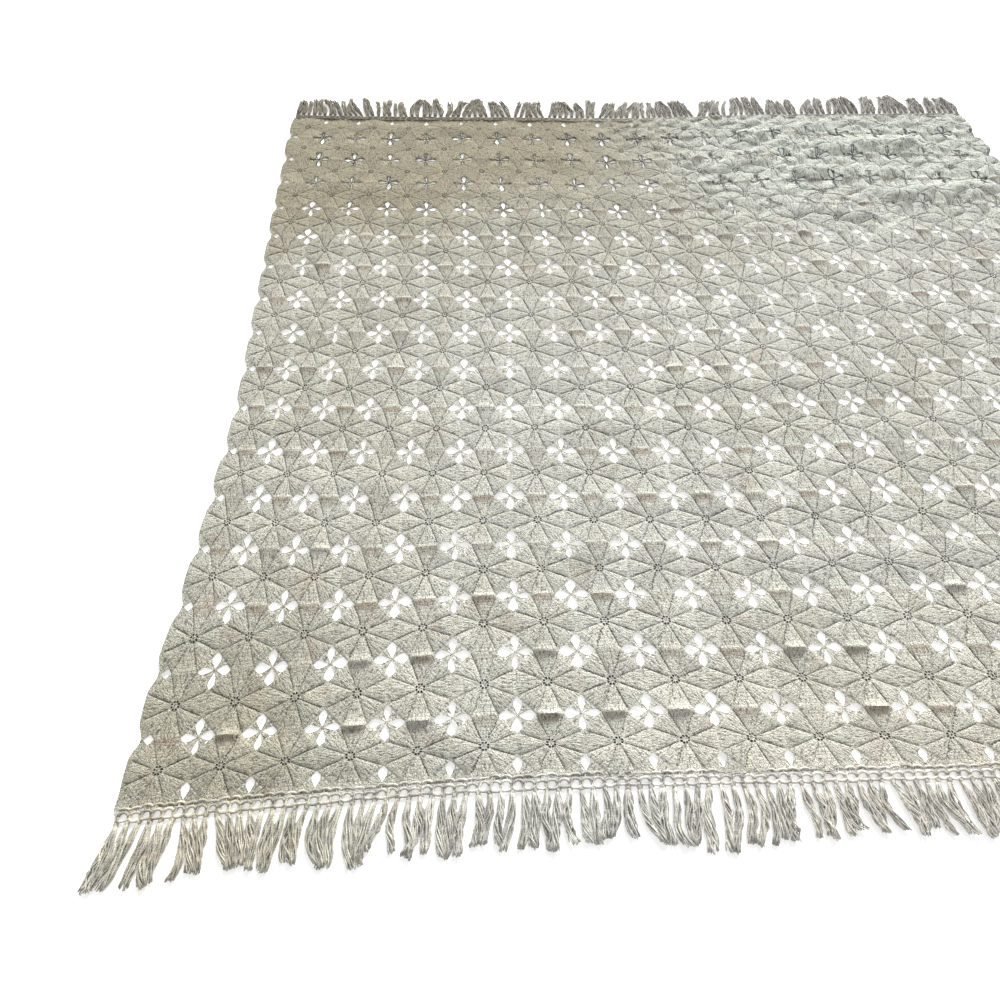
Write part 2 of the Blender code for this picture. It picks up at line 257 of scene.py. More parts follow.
class Template:
    """The flat pattern of one medallion: spots and triangles of its upper and under side."""

    def __init__(self):
        self.spots = []
        self.sunk = []
        self.known = {}
        self.upper = []
        self.under = []

    def spot(self, x, y, sunk=0.0):
        key = (round(x, 5), round(y, 5))
        if key not in self.known:
            self.known[key] = len(self.spots)
            self.spots.append(key)
            self.sunk.append(sunk)
        return self.known[key]

    def pit(self, faces, corners, share, depth):
        """A small blind hole, kept dark by painted shade in the cotton: its sides slope to a floor near the
        underside.
        """
        at = np.array([self.spots[n] for n in corners])
        foot = [self.spot(*(at.mean(0) + (place - at.mean(0)) * share), depth) for place in at]
        for n in range(len(corners)):
            m = (n + 1) % len(corners)
            faces.append((corners[n], corners[m], foot[m]))
            faces.append((corners[n], foot[m], foot[n]))
        faces.append((foot[0], foot[1], foot[2]))
        faces.append((foot[0], foot[2], foot[3]))

    def round_of(self, apothem, across):
        """One closed round, sector by sector."""
        made = []
        for sector in range(8):
            heading = sector * math.pi / 4
            for place in across:
                side = place * apothem * math.tan(math.pi / 8)
                made.append(self.spot(apothem * math.cos(heading) - side * math.sin(heading),
                                      apothem * math.sin(heading) + side * math.cos(heading)))
        return made

    def strip(self, faces, inner, outer, left_out=()):
        """Squares between two rows of as many spots."""
        for n in range(len(inner) - 1):
            if n not in left_out:
                faces.append((inner[n], outer[n], outer[n + 1]))
                faces.append((inner[n], outer[n + 1], inner[n + 1]))

    def zip_rows(self, faces, inner, outer, inner_at, outer_at):
        """Triangles between two rows of different numbers of spots, matched by where the spots are."""
        i = j = 0
        while i < len(inner) - 1 or j < len(outer) - 1:
            step_inner = j == len(outer) - 1 or (i < len(inner) - 1 and inner_at[i + 1] < outer_at[j + 1])
            if step_inner:
                faces.append((inner[i], outer[j], inner[i + 1]))
                i += 1
            else:
                faces.append((inner[i], outer[j], outer[j + 1]))
                j += 1


def turns_of(template, row):
    """The turn at which each spot of a closed round stands, from its first spot on."""
    begin = None
    turns = []
    for n in row:
        turn = math.atan2(template.spots[n][1], template.spots[n][0])
        if begin is None:
            begin = turn
        turns.append((turn - begin) % math.tau + begin)
    turns[-1] = begin + math.tau
    return turns


medallion = Template()
inner_rounds = []
for apothem in INNER_ROUNDS:
    spots = medallion.round_of(apothem, INNER_ACROSS)
    inner_rounds.append(spots + spots[:1])
rounds = []
for apothem in ROUNDS:
    spots = medallion.round_of(apothem, ACROSS)
    rounds.append(spots + spots[:1])
under_spots = medallion.round_of(UNDERSIDE_ROUND, INNER_ACROSS)
under_round = under_spots + under_spots[:1]
ring_holes = range(1, 16, 2)
for faces in (medallion.upper, medallion.under):
    medallion.strip(faces, inner_rounds[0], inner_rounds[1])
    medallion.strip(faces, inner_rounds[1], inner_rounds[2], ring_holes if faces is medallion.upper else ())
for n in ring_holes:
    corners = (inner_rounds[1][n], inner_rounds[2][n], inner_rounds[2][n + 1], inner_rounds[1][n + 1])
    medallion.pit(medallion.upper, corners, RING_HOLE["share"], RING_HOLE["depth"])
medallion.zip_rows(medallion.upper, inner_rounds[2], rounds[0],
                   turns_of(medallion, inner_rounds[2]), turns_of(medallion, rounds[0]))
for inner, outer in zip(rounds, rounds[1:]):
    medallion.strip(medallion.upper, inner, outer)
medallion.strip(medallion.under, inner_rounds[2], under_round)
medallion.zip_rows(medallion.under, under_round, rounds[-1],
                   turns_of(medallion, under_round), turns_of(medallion, rounds[-1]))


def turned(x, y, quarter):
    """A spot turned by quarters about the middle of the medallion."""
    for turn in range(quarter):
        x, y = -y, x
    return x, y


petal_sides = []
side_rows = []
for quarter in range(4):
    def lobe_spot(along, aside, place):
        """A spot of this quarter's lobe; place runs from the petal hole on its right to the one on its left."""
        across = 0.5 * (1.0 + place)
        x = (0.5 - aside) * (1.0 - across) + (0.5 - along) * across
        y = (0.5 - along) * (1.0 - across) + (0.5 - aside) * across
        return medallion.spot(*turned(x, y, quarter))

    first = len(ACROSS) * (2 * quarter + 1)
    base = rounds[-1][first + 2:first + 6]
    rows = [[lobe_spot(along, aside, place) for place in LOBE_ACROSS] for along, aside in PETAL[1:-1]]
    tip = [lobe_spot(PETAL[-1][0], 0.0, -1.0), lobe_spot(0.0, 0.0, 0.0), lobe_spot(PETAL[-1][0], 0.0, 1.0)]
    for faces in (medallion.upper, medallion.under):
        medallion.zip_rows(faces, base, rows[0], (-0.66, -0.2, 0.2, 0.66), [0.6 * place for place in LOBE_ACROSS])
        for n, (inner, outer) in enumerate(zip(rows, rows[1:])):
            medallion.strip(faces, inner, outer, [place for row, place in LOBE_EYELETS if row == n])
        medallion.zip_rows(faces, rows[-1], tip, LOBE_ACROSS, (-1.0, 0.0, 1.0))
    petal_sides.append(([row[0] for row in rows] + [tip[0], tip[1]], [row[-1] for row in rows] + [tip[2], tip[1]]))
for quarter in range(4):
    # every spot along one side, from one star gap to the next, counted round the medallion
    first = 2 * len(ACROSS) * quarter
    ring = rounds[-1][:-1]
    straight = [ring[(first + n) % len(ring)] for n in range(-2, len(ACROSS) + 3)]
    side_rows.append(petal_sides[(quarter + 3) % 4][1][::-1] + straight + petal_sides[quarter][0])
FLAT_SPOTS = np.array(medallion.spots)
SUNK = np.array(medallion.sunk)
TRIANGLES = {"upper": np.array(medallion.upper), "under": np.array(medallion.under)}

gap_draw = np.random.default_rng(31)
# of each star gap, as shares: sideways, along, twist and four petal widths
GAP_SHAPES = gap_draw.uniform(-1.0, 1.0, (COLUMNS + 1, ROWS + 1, 7))
GAP_DRIFT = 0.018
GAP_TWIST = math.radians(9)
PETAL_CHANGE = 0.28
PULLED_SHUT = {"far left": 0.91, "crumpled": 0.80}      # how far most petal holes are drawn in there
LEFT_OPEN = 0.42                              # share of that for the petals that stay open


def shaped(u, v):
    """The flat pattern as it was really worked: no star gap quite like the next, and notched plain ends."""
    column = np.clip(np.rint(u), 0, COLUMNS).astype(int)
    row = np.clip(np.rint(v), 0, ROWS).astype(int)
    x = u - column
    y = v - row
    away = np.hypot(x, y)
    hold = np.cos(0.5 * math.pi * np.minimum(away / 0.36, 1.0)) ** 2
    inside = (column > 0) & (column < COLUMNS) & (row > 0) & (row < ROWS)
    hold = np.where(inside, hold, 0.0)
    shape = GAP_SHAPES[column, row]
    turn = np.arctan2(y, x)
    petal = np.mod(np.rint(turn / (0.5 * math.pi)), 4).astype(int)
    off_axis = turn - np.rint(turn / (0.5 * math.pi)) * 0.5 * math.pi
    widen = PETAL_CHANGE * np.take_along_axis(shape, (3 + petal)[:, None], axis=1)[:, 0]
    drawn_in = (1.0 - eased_step(7.5, 10.5, column)) * eased_step(12.5, 14.5, row)
    crumpled = eased_step(9.5, 12.5, column + 0.35 * (row - 12.0)) * eased_step(11.5, 13.5, row)
    drawn_in = PULLED_SHUT["far left"] * drawn_in + PULLED_SHUT["crumpled"] * crumpled
    # the petal toward the right mostly stays open
    stays_open = widen > np.where(petal == 0, -0.30, 0.55) * PETAL_CHANGE
    drawn_in = drawn_in * np.where(stays_open, LEFT_OPEN, 1.02)
    widen = widen * (1.0 - drawn_in) - drawn_in
    near_gap = np.where(inside, 1.0 - eased_step(0.235, 0.35, away), 0.0)
    off_axis = off_axis * (1.0 + widen * (1.0 - (off_axis / (0.25 * math.pi)) ** 4) * near_gap)
    turn = np.rint(turn / (0.5 * math.pi)) * 0.5 * math.pi + off_axis + GAP_TWIST * shape[:, 2] * hold
    x = np.where(inside, away * np.cos(turn) + GAP_DRIFT * shape[:, 0] * hold, x)
    y = np.where(inside, away * np.sin(turn) + GAP_DRIFT * shape[:, 1] * hold, y)
    notch = NOTCH * np.cos(0.5 * math.pi * np.minimum(away / 0.293, 1.0)) ** 2
    notch = np.where((row > 0) & (row < ROWS), notch, 0.0)
    x = x + np.where(column == 0, notch, 0.0) - np.where(column == COLUMNS, notch, 0.0)
    return column + x, row + y


def relief(u, v):
    """Height of the worked face above plain cloth: full sectors, sunk open lines, a raised middle and joins."""
    x = np.mod(u, 1.0) - 0.5
    y = np.mod(v, 1.0) - 0.5
    turn = np.arctan2(y, x)
    sector = np.rint(turn / (0.25 * math.pi))
    aside = turn - sector * 0.25 * math.pi
    apothem = np.hypot(x, y) * np.cos(aside)
    across = np.abs(np.tan(aside) / math.tan(math.pi / 8))
    worked = np.clip((apothem - 0.10) / 0.03, 0.0, 1.0) * np.clip((0.50 - apothem) / 0.05, 0.0, 1.0)
    full = 0.0018 * (1.0 - across ** 3) * worked
    sunk = -0.0012 * np.clip((across - 0.86) / 0.14, 0.0, 1.0) * worked
    middle = 0.0008 * np.exp(-((apothem - 0.04) / 0.03) ** 2)
    row_join = np.where(np.abs(y) > np.abs(x), 1.0, 0.0) * (across < 0.98)
    join = (0.0016 * row_join - 0.0004 * (1.0 - row_join)) * np.exp(-((apothem - 0.5) / 0.022) ** 2)
    to_gap = np.hypot(0.5 - np.abs(x), 0.5 - np.abs(y))
    join = np.where(to_gap < 0.28, 0.0, join)
    knot = 0.0012 * np.exp(-(to_gap / 0.03) ** 2)
    thin = -0.0008 * np.clip((0.11 - to_gap) / 0.05, 0.0, 1.0)
    lobe = -0.0009 * np.clip((apothem - 0.47) / 0.05, 0.0, 1.0) * (to_gap < 0.30)
    return (full + sunk + join) * smoothed_out(u, v) + middle + knot + thin + lobe


EDGING_SLOTS = (12, 14)                       # squares of the edging beside each medallion that are left open


def medallion_rows(name, first, last):
    """A closed crocheted sheet of whole rows of medallions, with the edging or the end row where it is outermost."""
    columns, rows = np.meshgrid(np.arange(COLUMNS), np.arange(first, last))
    middles = np.stack((columns.ravel() + 0.5, rows.ravel() + 0.5), axis=1)
    spots = (middles[:, None, :] + FLAT_SPOTS[None, :, :]).reshape(-1, 2)
    offsets = (np.arange(len(middles)) * len(FLAT_SPOTS))[:, None, None]
    faces = {side: (TRIANGLES[side][None] + offsets).reshape(-1, 3) for side in TRIANGLES}
    outer_spots = []
    outer_faces = []
    for cell, (middle_u, middle_v) in enumerate(middles):
        is_outermost = (middle_u > COLUMNS - 1, middle_v > ROWS - 1, middle_u < 1, middle_v < 1)
        for quarter in range(4):
            if not is_outermost[quarter]:
                continue
            chain = [n + cell * len(FLAT_SPOTS) for n in side_rows[quarter]]
            twins = []
            for n in chain:
                u, v = spots[n]
                at_end = min(u, COLUMNS - u) < 1e-6 and min(v, ROWS - v) < 1e-6
                if quarter % 2 == 0 or at_end:
                    u = -END_ROW if middle_u < 1 else COLUMNS + END_ROW
                if quarter % 2 == 1 or at_end:
                    v = -EDGING if middle_v < 1 else ROWS + EDGING
                twins.append(len(spots) + len(outer_spots))
                outer_spots.append((u, v))
            for n in range(len(chain) - 1):
                if quarter % 2 == 1 and n in EDGING_SLOTS:
                    continue
                outer_faces.append((twins[n], twins[n + 1], chain[n + 1]))
                outer_faces.append((twins[n], chain[n + 1], chain[n]))
    if outer_spots:
        spots = np.concatenate((spots, outer_spots))
        faces = {side: np.concatenate((faces[side], outer_faces)) for side in faces}
    keys, where = np.unique(np.rint(spots * 1e4).astype(np.int64), axis=0, return_inverse=True)
    where = where.reshape(-1)
    flat = keys / 1e4
    sunk = np.zeros(len(flat))
    sunk[where[:len(middles) * len(SUNK)]] = np.tile(SUNK, len(middles))
    upper = where[faces["upper"]]
    under = where[faces["under"]]

    def sound(triangles):
        a, b, c = triangles.T
        return triangles[(a != b) & (b != c) & (c != a)]

    upper = sound(upper)
    under = sound(under)
    edges = np.concatenate((upper[:, [0, 1]], upper[:, [1, 2]], upper[:, [2, 0]]))
    count = len(flat)
    forward = edges[:, 0] * count + edges[:, 1]
    backward = edges[:, 1] * count + edges[:, 0]
    a, b = edges[~np.isin(forward, backward)].T
    used = np.zeros(count, bool)
    used[under.ravel()] = True
    walls = np.concatenate((np.stack((a + count, b + count, b), axis=1), np.stack((a + count, b, a), axis=1)))
    triangles = np.concatenate((upper, under[:, ::-1] + count, walls))
    at_u, at_v = shaped(flat[:, 0], flat[:, 1])
    laid = lay(at_u, at_v) + CENTRING
    top = laid + np.stack((np.zeros(count), np.zeros(count), CLOTH + relief(flat[:, 0], flat[:, 1]) - sunk),
                          axis=1)
    bottom = laid + np.array((0.0, 0.0, 0.0002))
    kept = np.concatenate((np.ones(count, bool), used))
    number = np.cumsum(kept) - 1
    triangles = number[triangles]
    points = np.concatenate((top, bottom))[kept]
    places = np.concatenate((flat, flat))[kept]
    mesh = bpy.data.meshes.new(name)
    mesh.from_pydata(points.tolist(), [], triangles.tolist())
    worked = mesh.uv_layers.new(name="rounds")
    worked.data.foreach_set("uv", places[triangles.ravel()].ravel())
    mesh.shade_smooth()
    mesh.set_sharp_from_angle(angle=math.radians(48))
    piece = bpy.data.objects.new(name, mesh)
    bpy.context.scene.collection.objects.link(piece)
    corners = flat[upper]
    sides = corners[:, 1:] - corners[:, :1]
    area = 0.5 * np.abs(sides[:, 0, 0] * sides[:, 1, 1] - sides[:, 0, 1] * sides[:, 1, 0]).sum() * PITCH ** 2
    return piece, area


def maths(tree, operation, first, second=0.0, third=0.0):
    """The result of one sum; each term is a number or comes from another node."""
    node = tree.nodes.new("ShaderNodeMath")
    node.operation = operation
    for place, value in enumerate((first, second, third)):
        if isinstance(value, bpy.types.NodeSocket):
            tree.links.new(value, node.inputs[place])
        else:
            node.inputs[place].default_value = value
    return node.outputs[0]


def eased(tree, value, low, high, from_value=0.0, to_value=1.0):
    """From one value to another, smoothly, while the given value goes from low to high."""
    node = tree.nodes.new("ShaderNodeMapRange")
    node.interpolation_type = "SMOOTHSTEP"
    tree.links.new(value, node.inputs["Value"])
    node.inputs["From Min"].default_value = low
    node.inputs["From Max"].default_value = high
    node.inputs["To Min"].default_value = from_value
    node.inputs["To Max"].default_value = to_value
    return node.outputs["Result"]


def noise(tree, place, scale, detail=2.0, roughness=0.5):
    """A soft random value from 0 to 1 that changes over the given place."""
    node = tree.nodes.new("ShaderNodeTexNoise")
    node.inputs["Scale"].default_value = scale
    node.inputs["Detail"].default_value = detail
    node.inputs["Roughness"].default_value = roughness
    tree.links.new(place, node.inputs["Vector"])
    return node.outputs["Fac"]


def chance(tree, x, y, z=0.0):
    """A number from 0 to 1 that is the same wherever the three given ones are."""
    node = tree.nodes.new("ShaderNodeTexWhiteNoise")
    joined = tree.nodes.new("ShaderNodeCombineXYZ")
    for place, value in enumerate((x, y, z)):
        if isinstance(value, bpy.types.NodeSocket):
            tree.links.new(value, joined.inputs[place])
        else:
            joined.inputs[place].default_value = value
    tree.links.new(joined.outputs["Vector"], node.inputs["Vector"])
    return node.outputs["Value"]


def blended(tree, share, first, second):
    """The first colour going over to the second as the share goes from 0 to 1."""
    node = tree.nodes.new("ShaderNodeMix")
    node.data_type = "RGBA"
    for place, value in ((0, share), (6, first), (7, second)):
        if isinstance(value, bpy.types.NodeSocket):
            tree.links.new(value, node.inputs[place])
        else:
            node.inputs[place].default_value = value
    return node.outputs[2]


def fade(tree, value, *factors):
    """A value times every factor after it."""
    for factor in factors:
        value = maths(tree, "MULTIPLY", value, factor)
    return value


# How the stitches lie: rounds of posts that stand square to their round, with slots between them that carry painted
# shade.
worked_rounds = bpy.data.node_groups.new("worked_rounds", "ShaderNodeTree")
worked_rounds.interface.new_socket("Place", in_out="INPUT", socket_type="NodeSocketVector")
for output in ("Height", "Slot Shade", "Open Line Shade", "Sector Chance", "Join Highlight", "Join Shade",
               "Hole Shade", "Petal Shade"):
    worked_rounds.interface.new_socket(output, in_out="OUTPUT", socket_type="NodeSocketFloat")
tree = worked_rounds
group_in = tree.nodes.new("NodeGroupInput")
group_out = tree.nodes.new("NodeGroupOutput")
parts = tree.nodes.new("ShaderNodeSeparateXYZ")
tree.links.new(group_in.outputs["Place"], parts.inputs[0])
column = maths(tree, "FLOOR", parts.outputs["X"])
line = maths(tree, "FLOOR", parts.outputs["Y"])
wander = maths(tree, "MULTIPLY_ADD", noise(tree, group_in.outputs["Place"], 7.0, 3.0), 0.080, -0.040)
x = maths(tree, "ADD", maths(tree, "SUBTRACT", maths(tree, "FRACT", parts.outputs["X"]), 0.5), wander)
y = maths(tree, "SUBTRACT", maths(tree, "SUBTRACT", maths(tree, "FRACT", parts.outputs["Y"]), 0.5), wander)
turn = maths(tree, "ARCTAN2", y, x)
sector = maths(tree, "ROUND", maths(tree, "DIVIDE", turn, 0.25 * math.pi))
aside = maths(tree, "SUBTRACT", turn, maths(tree, "MULTIPLY", sector, 0.25 * math.pi))
reach = maths(tree, "SQRT", maths(tree, "ADD", maths(tree, "MULTIPLY", x, x), maths(tree, "MULTIPLY", y, y)))
outward = maths(tree, "MULTIPLY", reach, maths(tree, "COSINE", aside))
sideways = maths(tree, "MULTIPLY", reach, maths(tree, "SINE", aside))
ROUNDS_IN_PITCH = 17.0
POSTS_IN_PITCH = 22.0
round_at = maths(tree, "MULTIPLY_ADD", outward, ROUNDS_IN_PITCH,
                 maths(tree, "MULTIPLY", noise(tree, group_in.outputs["Place"], 21.0), 1.1))
round_number = maths(tree, "FLOOR", round_at)
round_part = maths(tree, "FRACT", round_at)
post_at = maths(tree, "ADD", maths(tree, "MULTIPLY", sideways, POSTS_IN_PITCH),
                maths(tree, "MULTIPLY", round_number, 0.37))
post_at = maths(tree, "ADD", post_at, maths(tree, "MULTIPLY", noise(tree, group_in.outputs["Place"], 27.0), 1.6))
post_number = maths(tree, "FLOOR", post_at)
post_part = maths(tree, "FRACT", post_at)
stitch = chance(tree, maths(tree, "MULTIPLY_ADD", column, 31.0, round_number),
                maths(tree, "MULTIPLY_ADD", line, 37.0, post_number), sector)
off_post = maths(tree, "ABSOLUTE", maths(tree, "MULTIPLY_ADD", post_part, 2.0, -1.0))
off_round = maths(tree, "ABSOLUTE", maths(tree, "MULTIPLY_ADD", round_part, 2.0, -1.0))
rounded = maths(tree, "MULTIPLY", maths(tree, "POWER", off_post, 2.0),
                maths(tree, "MULTIPLY_ADD", stitch, 0.7, 0.3))
rounded = maths(tree, "MAXIMUM", rounded, maths(tree, "MULTIPLY", maths(tree, "POWER", off_round, 2.5), 0.85))
# painted shade in the slots between posts and between rounds
slot_shade = fade(tree, maths(tree, "POWER", off_post, 3.0), maths(tree, "MULTIPLY", stitch, 0.7))
slot_shade = maths(tree, "MAXIMUM", slot_shade, maths(tree, "MULTIPLY", maths(tree, "POWER", off_round, 5.0), 0.15))
streak_place = tree.nodes.new("ShaderNodeCombineXYZ")
streak_sector = maths(tree, "MULTIPLY_ADD", sector, 7.3, maths(tree, "MULTIPLY", column, 13.1))
tree.links.new(maths(tree, "MULTIPLY_ADD", outward, 11.0, streak_sector), streak_place.inputs["X"])
tree.links.new(maths(tree, "MULTIPLY_ADD", sideways, 30.0, maths(tree, "MULTIPLY", line, 17.7)),
               streak_place.inputs["Y"])
streak = noise(tree, streak_place.outputs["Vector"], 1.0, 2.0, 0.55)
# short streaks of painted shade where the stitches sink
loose = eased(tree, streak, 0.35, 0.49, 1.0, 0.0)
slot_shade = maths(tree, "MAXIMUM", slot_shade, loose)
slot_shade = maths(tree, "MULTIPLY", slot_shade, eased(tree, outward, 0.05, 0.10, 0.35, 1.0))
to_line = maths(tree, "MULTIPLY", reach, maths(tree, "SINE", maths(tree, "SUBTRACT", math.pi / 8,
                                                                   maths(tree, "ABSOLUTE", aside))))
eyelet_run = maths(tree, "SINE", maths(tree, "MULTIPLY", reach, 20.0 * math.tau))
line_number = maths(tree, "ROUND", maths(tree, "MULTIPLY_ADD", turn, 4.0 / math.pi, -0.5))
line_chance = chance(tree, maths(tree, "MULTIPLY_ADD", column, 9.0, line_number), line, 5.0)
# the open line between sectors: sunk in the bump, and its dotted eyelets painted darker as shade
open_line = fade(tree, eased(tree, to_line, 0.005, 0.014, 1.0, 0.0), eased(tree, outward, 0.095, 0.11),
                 eased(tree, outward, 0.43, 0.49, 1.0, 0.0), maths(tree, "MULTIPLY_ADD", eyelet_run, 0.35, 0.65),
                 maths(tree, "MULTIPLY_ADD", maths(tree, "POWER", line_chance, 1.5), 0.75, 0.25),
                 eased(tree, parts.outputs["Y"], 11.5, 14.5, 1.0, 0.45))
height = maths(tree, "SUBTRACT", maths(tree, "MULTIPLY", rounded, -0.50), maths(tree, "MULTIPLY", open_line, 0.9))
height = maths(tree, "ADD", height, maths(tree, "MULTIPLY", streak, 2.2))
join_chance = chance(tree, column, maths(tree, "ROUND", parts.outputs["Y"]), 11.0)
beside_join = maths(tree, "MULTIPLY", join_chance, eased(tree, maths(tree, "ABSOLUTE", x), 0.10, 0.23, 1.0, 0.0))
# painted highlight on the far slope of a join, the slope that faces the light
join_highlight = maths(tree, "MULTIPLY", beside_join, eased(tree, y, -0.47, -0.41, 1.0, 0.0))
# painted shade, brown-tinted, on the near slope of a join, which faces away from the light
join_shade = fade(tree, beside_join, eased(tree, y, 0.30, 0.46), eased(tree, parts.outputs["Y"], 0.1, 0.3))
ring = 0.061                                  # the holes of the starting ring lie this far from the middle
to_spoke = maths(tree, "COSINE", maths(tree, "SUBTRACT", math.pi / 8, maths(tree, "ABSOLUTE", aside)))
to_hole = maths(tree, "SUBTRACT", maths(tree, "MULTIPLY_ADD", reach, reach, ring * ring),
                maths(tree, "MULTIPLY", maths(tree, "MULTIPLY", reach, 2.0 * ring), to_spoke))
to_hole = maths(tree, "SQRT", maths(tree, "MAXIMUM", to_hole, 0.0))
# painted shade in the starting ring's holes and in the hole in the middle
hole_shade = maths(tree, "MAXIMUM", eased(tree, to_hole, 0.013, 0.024, 1.0, 0.0),
              eased(tree, reach, 0.014, 0.024, 1.0, 0.0))
# painted shade along the drawn-in petal holes of the far rows, where they show as dark slits
from_gap_x = maths(tree, "SUBTRACT", 0.5, maths(tree, "ABSOLUTE", x))
from_gap_y = maths(tree, "SUBTRACT", 0.5, maths(tree, "ABSOLUTE", y))
off_petal = maths(tree, "MINIMUM", from_gap_x, from_gap_y)
along_petal = maths(tree, "MAXIMUM", from_gap_x, from_gap_y)
petal_half = maths(tree, "MINIMUM", maths(tree, "MULTIPLY", along_petal, 0.42), 0.072)
from_edge = maths(tree, "SUBTRACT", off_petal, petal_half)
shut_chance = chance(tree, maths(tree, "ROUND", parts.outputs["X"]), maths(tree, "ROUND", parts.outputs["Y"]), 2.0)
shut_petal_shade = fade(tree, eased(tree, from_edge, 0.018, 0.042, 1.0, 0.0), eased(tree, along_petal, 0.24, 0.30, 1.0, 0.0),
            eased(tree, parts.outputs["Y"], 11.6, 14.2), eased(tree, parts.outputs["Y"], 16.45, 16.60, 1.0, 0.0),
            eased(tree, parts.outputs["X"], 0.55, 0.75), maths(tree, "MULTIPLY_ADD", shut_chance, 0.5, 0.5))
for output, value in (("Height", height), ("Slot Shade", slot_shade), ("Open Line Shade", open_line),
                      ("Sector Chance", chance(tree, column, line, sector)), ("Join Highlight", join_highlight),
                      ("Join Shade", join_shade), ("Hole Shade", hole_shade), ("Petal Shade", shut_petal_shade)):
    tree.links.new(value, group_out.inputs[output])

# Where the cotton is khaki and where it is pale, over the whole spread: khaki towards the far left, less towards the
# near left and the left side, and in large random patches.
khaki_and_stains = bpy.data.node_groups.new("khaki_and_stains", "ShaderNodeTree")
khaki_and_stains.interface.new_socket("Place", in_out="INPUT", socket_type="NodeSocketVector")
khaki_and_stains.interface.new_socket("Khaki", in_out="OUTPUT", socket_type="NodeSocketFloat")
khaki_and_stains.interface.new_socket("Stain", in_out="OUTPUT", socket_type="NodeSocketFloat")
tree = khaki_and_stains
group_in = tree.nodes.new("NodeGroupInput")
group_out = tree.nodes.new("NodeGroupOutput")
parts = tree.nodes.new("ShaderNodeSeparateXYZ")
tree.links.new(group_in.outputs["Place"], parts.inputs[0])
far_side = eased(tree, parts.outputs["Y"], 0.10, 0.90)
far_left = maths(tree, "MULTIPLY", far_side, eased(tree, parts.outputs["X"], -0.15, 0.65, 1.0, 0.0))
near_left = maths(tree, "MULTIPLY", eased(tree, parts.outputs["Y"], -0.95, -0.45, 1.0, 0.0),
                  eased(tree, parts.outputs["X"], -1.15, -0.35, 1.0, 0.1))
khaki = maths(tree, "ADD", far_left, maths(tree, "MULTIPLY", near_left, 0.34))
khaki = maths(tree, "ADD", khaki, eased(tree, parts.outputs["X"], -1.15, -0.40, 0.24, 0.0))
patches = noise(tree, group_in.outputs["Place"], 2.6, 3.0, 0.55)
khaki = maths(tree, "ADD", khaki, maths(tree, "MULTIPLY_ADD", patches, 0.8, -0.36))
khaki = maths(tree, "MAXIMUM", maths(tree, "MINIMUM", khaki, 1.0), 0.0)
tree.links.new(khaki, group_out.inputs["Khaki"])
spots_of_tea = eased(tree, noise(tree, group_in.outputs["Place"], 9.0, 4.0, 0.6), 0.56, 0.72)
tree.links.new(maths(tree, "MULTIPLY", spots_of_tea, maths(tree, "MULTIPLY_ADD", near_left, 0.8, 0.7)),
               group_out.inputs["Stain"])



def cotton_material(name, roughness, shine):
    """A matt cotton with a little sheen."""
    material = bpy.data.materials.new(name)
    material.use_nodes = True
    inputs = material.node_tree.nodes["Principled BSDF"].inputs
    inputs["Roughness"].default_value = roughness
    inputs["Specular IOR Level"].default_value = shine
    inputs["Sheen Weight"].default_value = 0.12
    inputs["Sheen Roughness"].default_value = 0.6
    return material


def colour_and_bump(material, cotton, tone, height, distance, strength=1.0):
    """Plugs a colour, made lighter or darker by the tone, and the stitches' or threads' height into the cotton."""
    tree = material.node_tree
    shader = tree.nodes["Principled BSDF"]
    scaled = tree.nodes.new("ShaderNodeVectorMath")
    scaled.operation = "SCALE"
    tree.links.new(cotton, scaled.inputs[0])
    tree.links.new(tone, scaled.inputs["Scale"])
    tree.links.new(scaled.outputs["Vector"], shader.inputs["Base Color"])
    bump = tree.nodes.new("ShaderNodeBump")
    bump.inputs["Strength"].default_value = strength
    bump.inputs["Distance"].default_value = distance
    tree.links.new(height, bump.inputs["Height"])
    tree.links.new(bump.outputs["Normal"], shader.inputs["Normal"])


crochet_cotton = cotton_material("crochet_cotton", 0.92, 0.25)
tree = crochet_cotton.node_tree
place = tree.nodes.new("ShaderNodeUVMap")
place.uv_map = "rounds"
body_place = tree.nodes.new("ShaderNodeTexCoord")
stitches = tree.nodes.new("ShaderNodeGroup")
stitches.node_tree = worked_rounds
tree.links.new(place.outputs["UV"], stitches.inputs["Place"])
spread_tones = tree.nodes.new("ShaderNodeGroup")
spread_tones.node_tree = khaki_and_stains
tree.links.new(body_place.outputs["Object"], spread_tones.inputs["Place"])
over = tree.nodes.new("ShaderNodeSeparateXYZ")
tree.links.new(body_place.outputs["Object"], over.inputs[0])
paler = maths(tree, "MULTIPLY", eased(tree, over.outputs["Y"], 0.30, 0.75),
              eased(tree, over.outputs["X"], -0.35, 0.30))
warmer = maths(tree, "MULTIPLY", eased(tree, over.outputs["Y"], -1.05, -0.60, 1.0, 0.0),
               eased(tree, over.outputs["X"], -0.50, 0.00))
cotton = blended(tree, spread_tones.outputs["Khaki"], (0.655, 0.660, 0.590, 1.0), (0.400, 0.365, 0.258, 1.0))
cotton = blended(tree, maths(tree, "MULTIPLY", paler, 0.75), cotton, (0.720, 0.755, 0.685, 1.0))
cotton = blended(tree, maths(tree, "MULTIPLY", warmer, 0.60), cotton, (0.730, 0.690, 0.580, 1.0))
cotton = blended(tree, maths(tree, "MULTIPLY", spread_tones.outputs["Stain"], 0.36), cotton, (0.44, 0.30, 0.21, 1.0))
# painted shade: the near slope of each join tinted brown
cotton = blended(tree, maths(tree, "MULTIPLY", stitches.outputs["Join Shade"], 0.75), cotton,
                 (0.40, 0.315, 0.235, 1.0))
fuzz = noise(tree, place.outputs["UV"], 62.0, 3.0, 0.65)
speckle = eased(tree, fuzz, 0.36, 0.66, 0.54, 1.34)
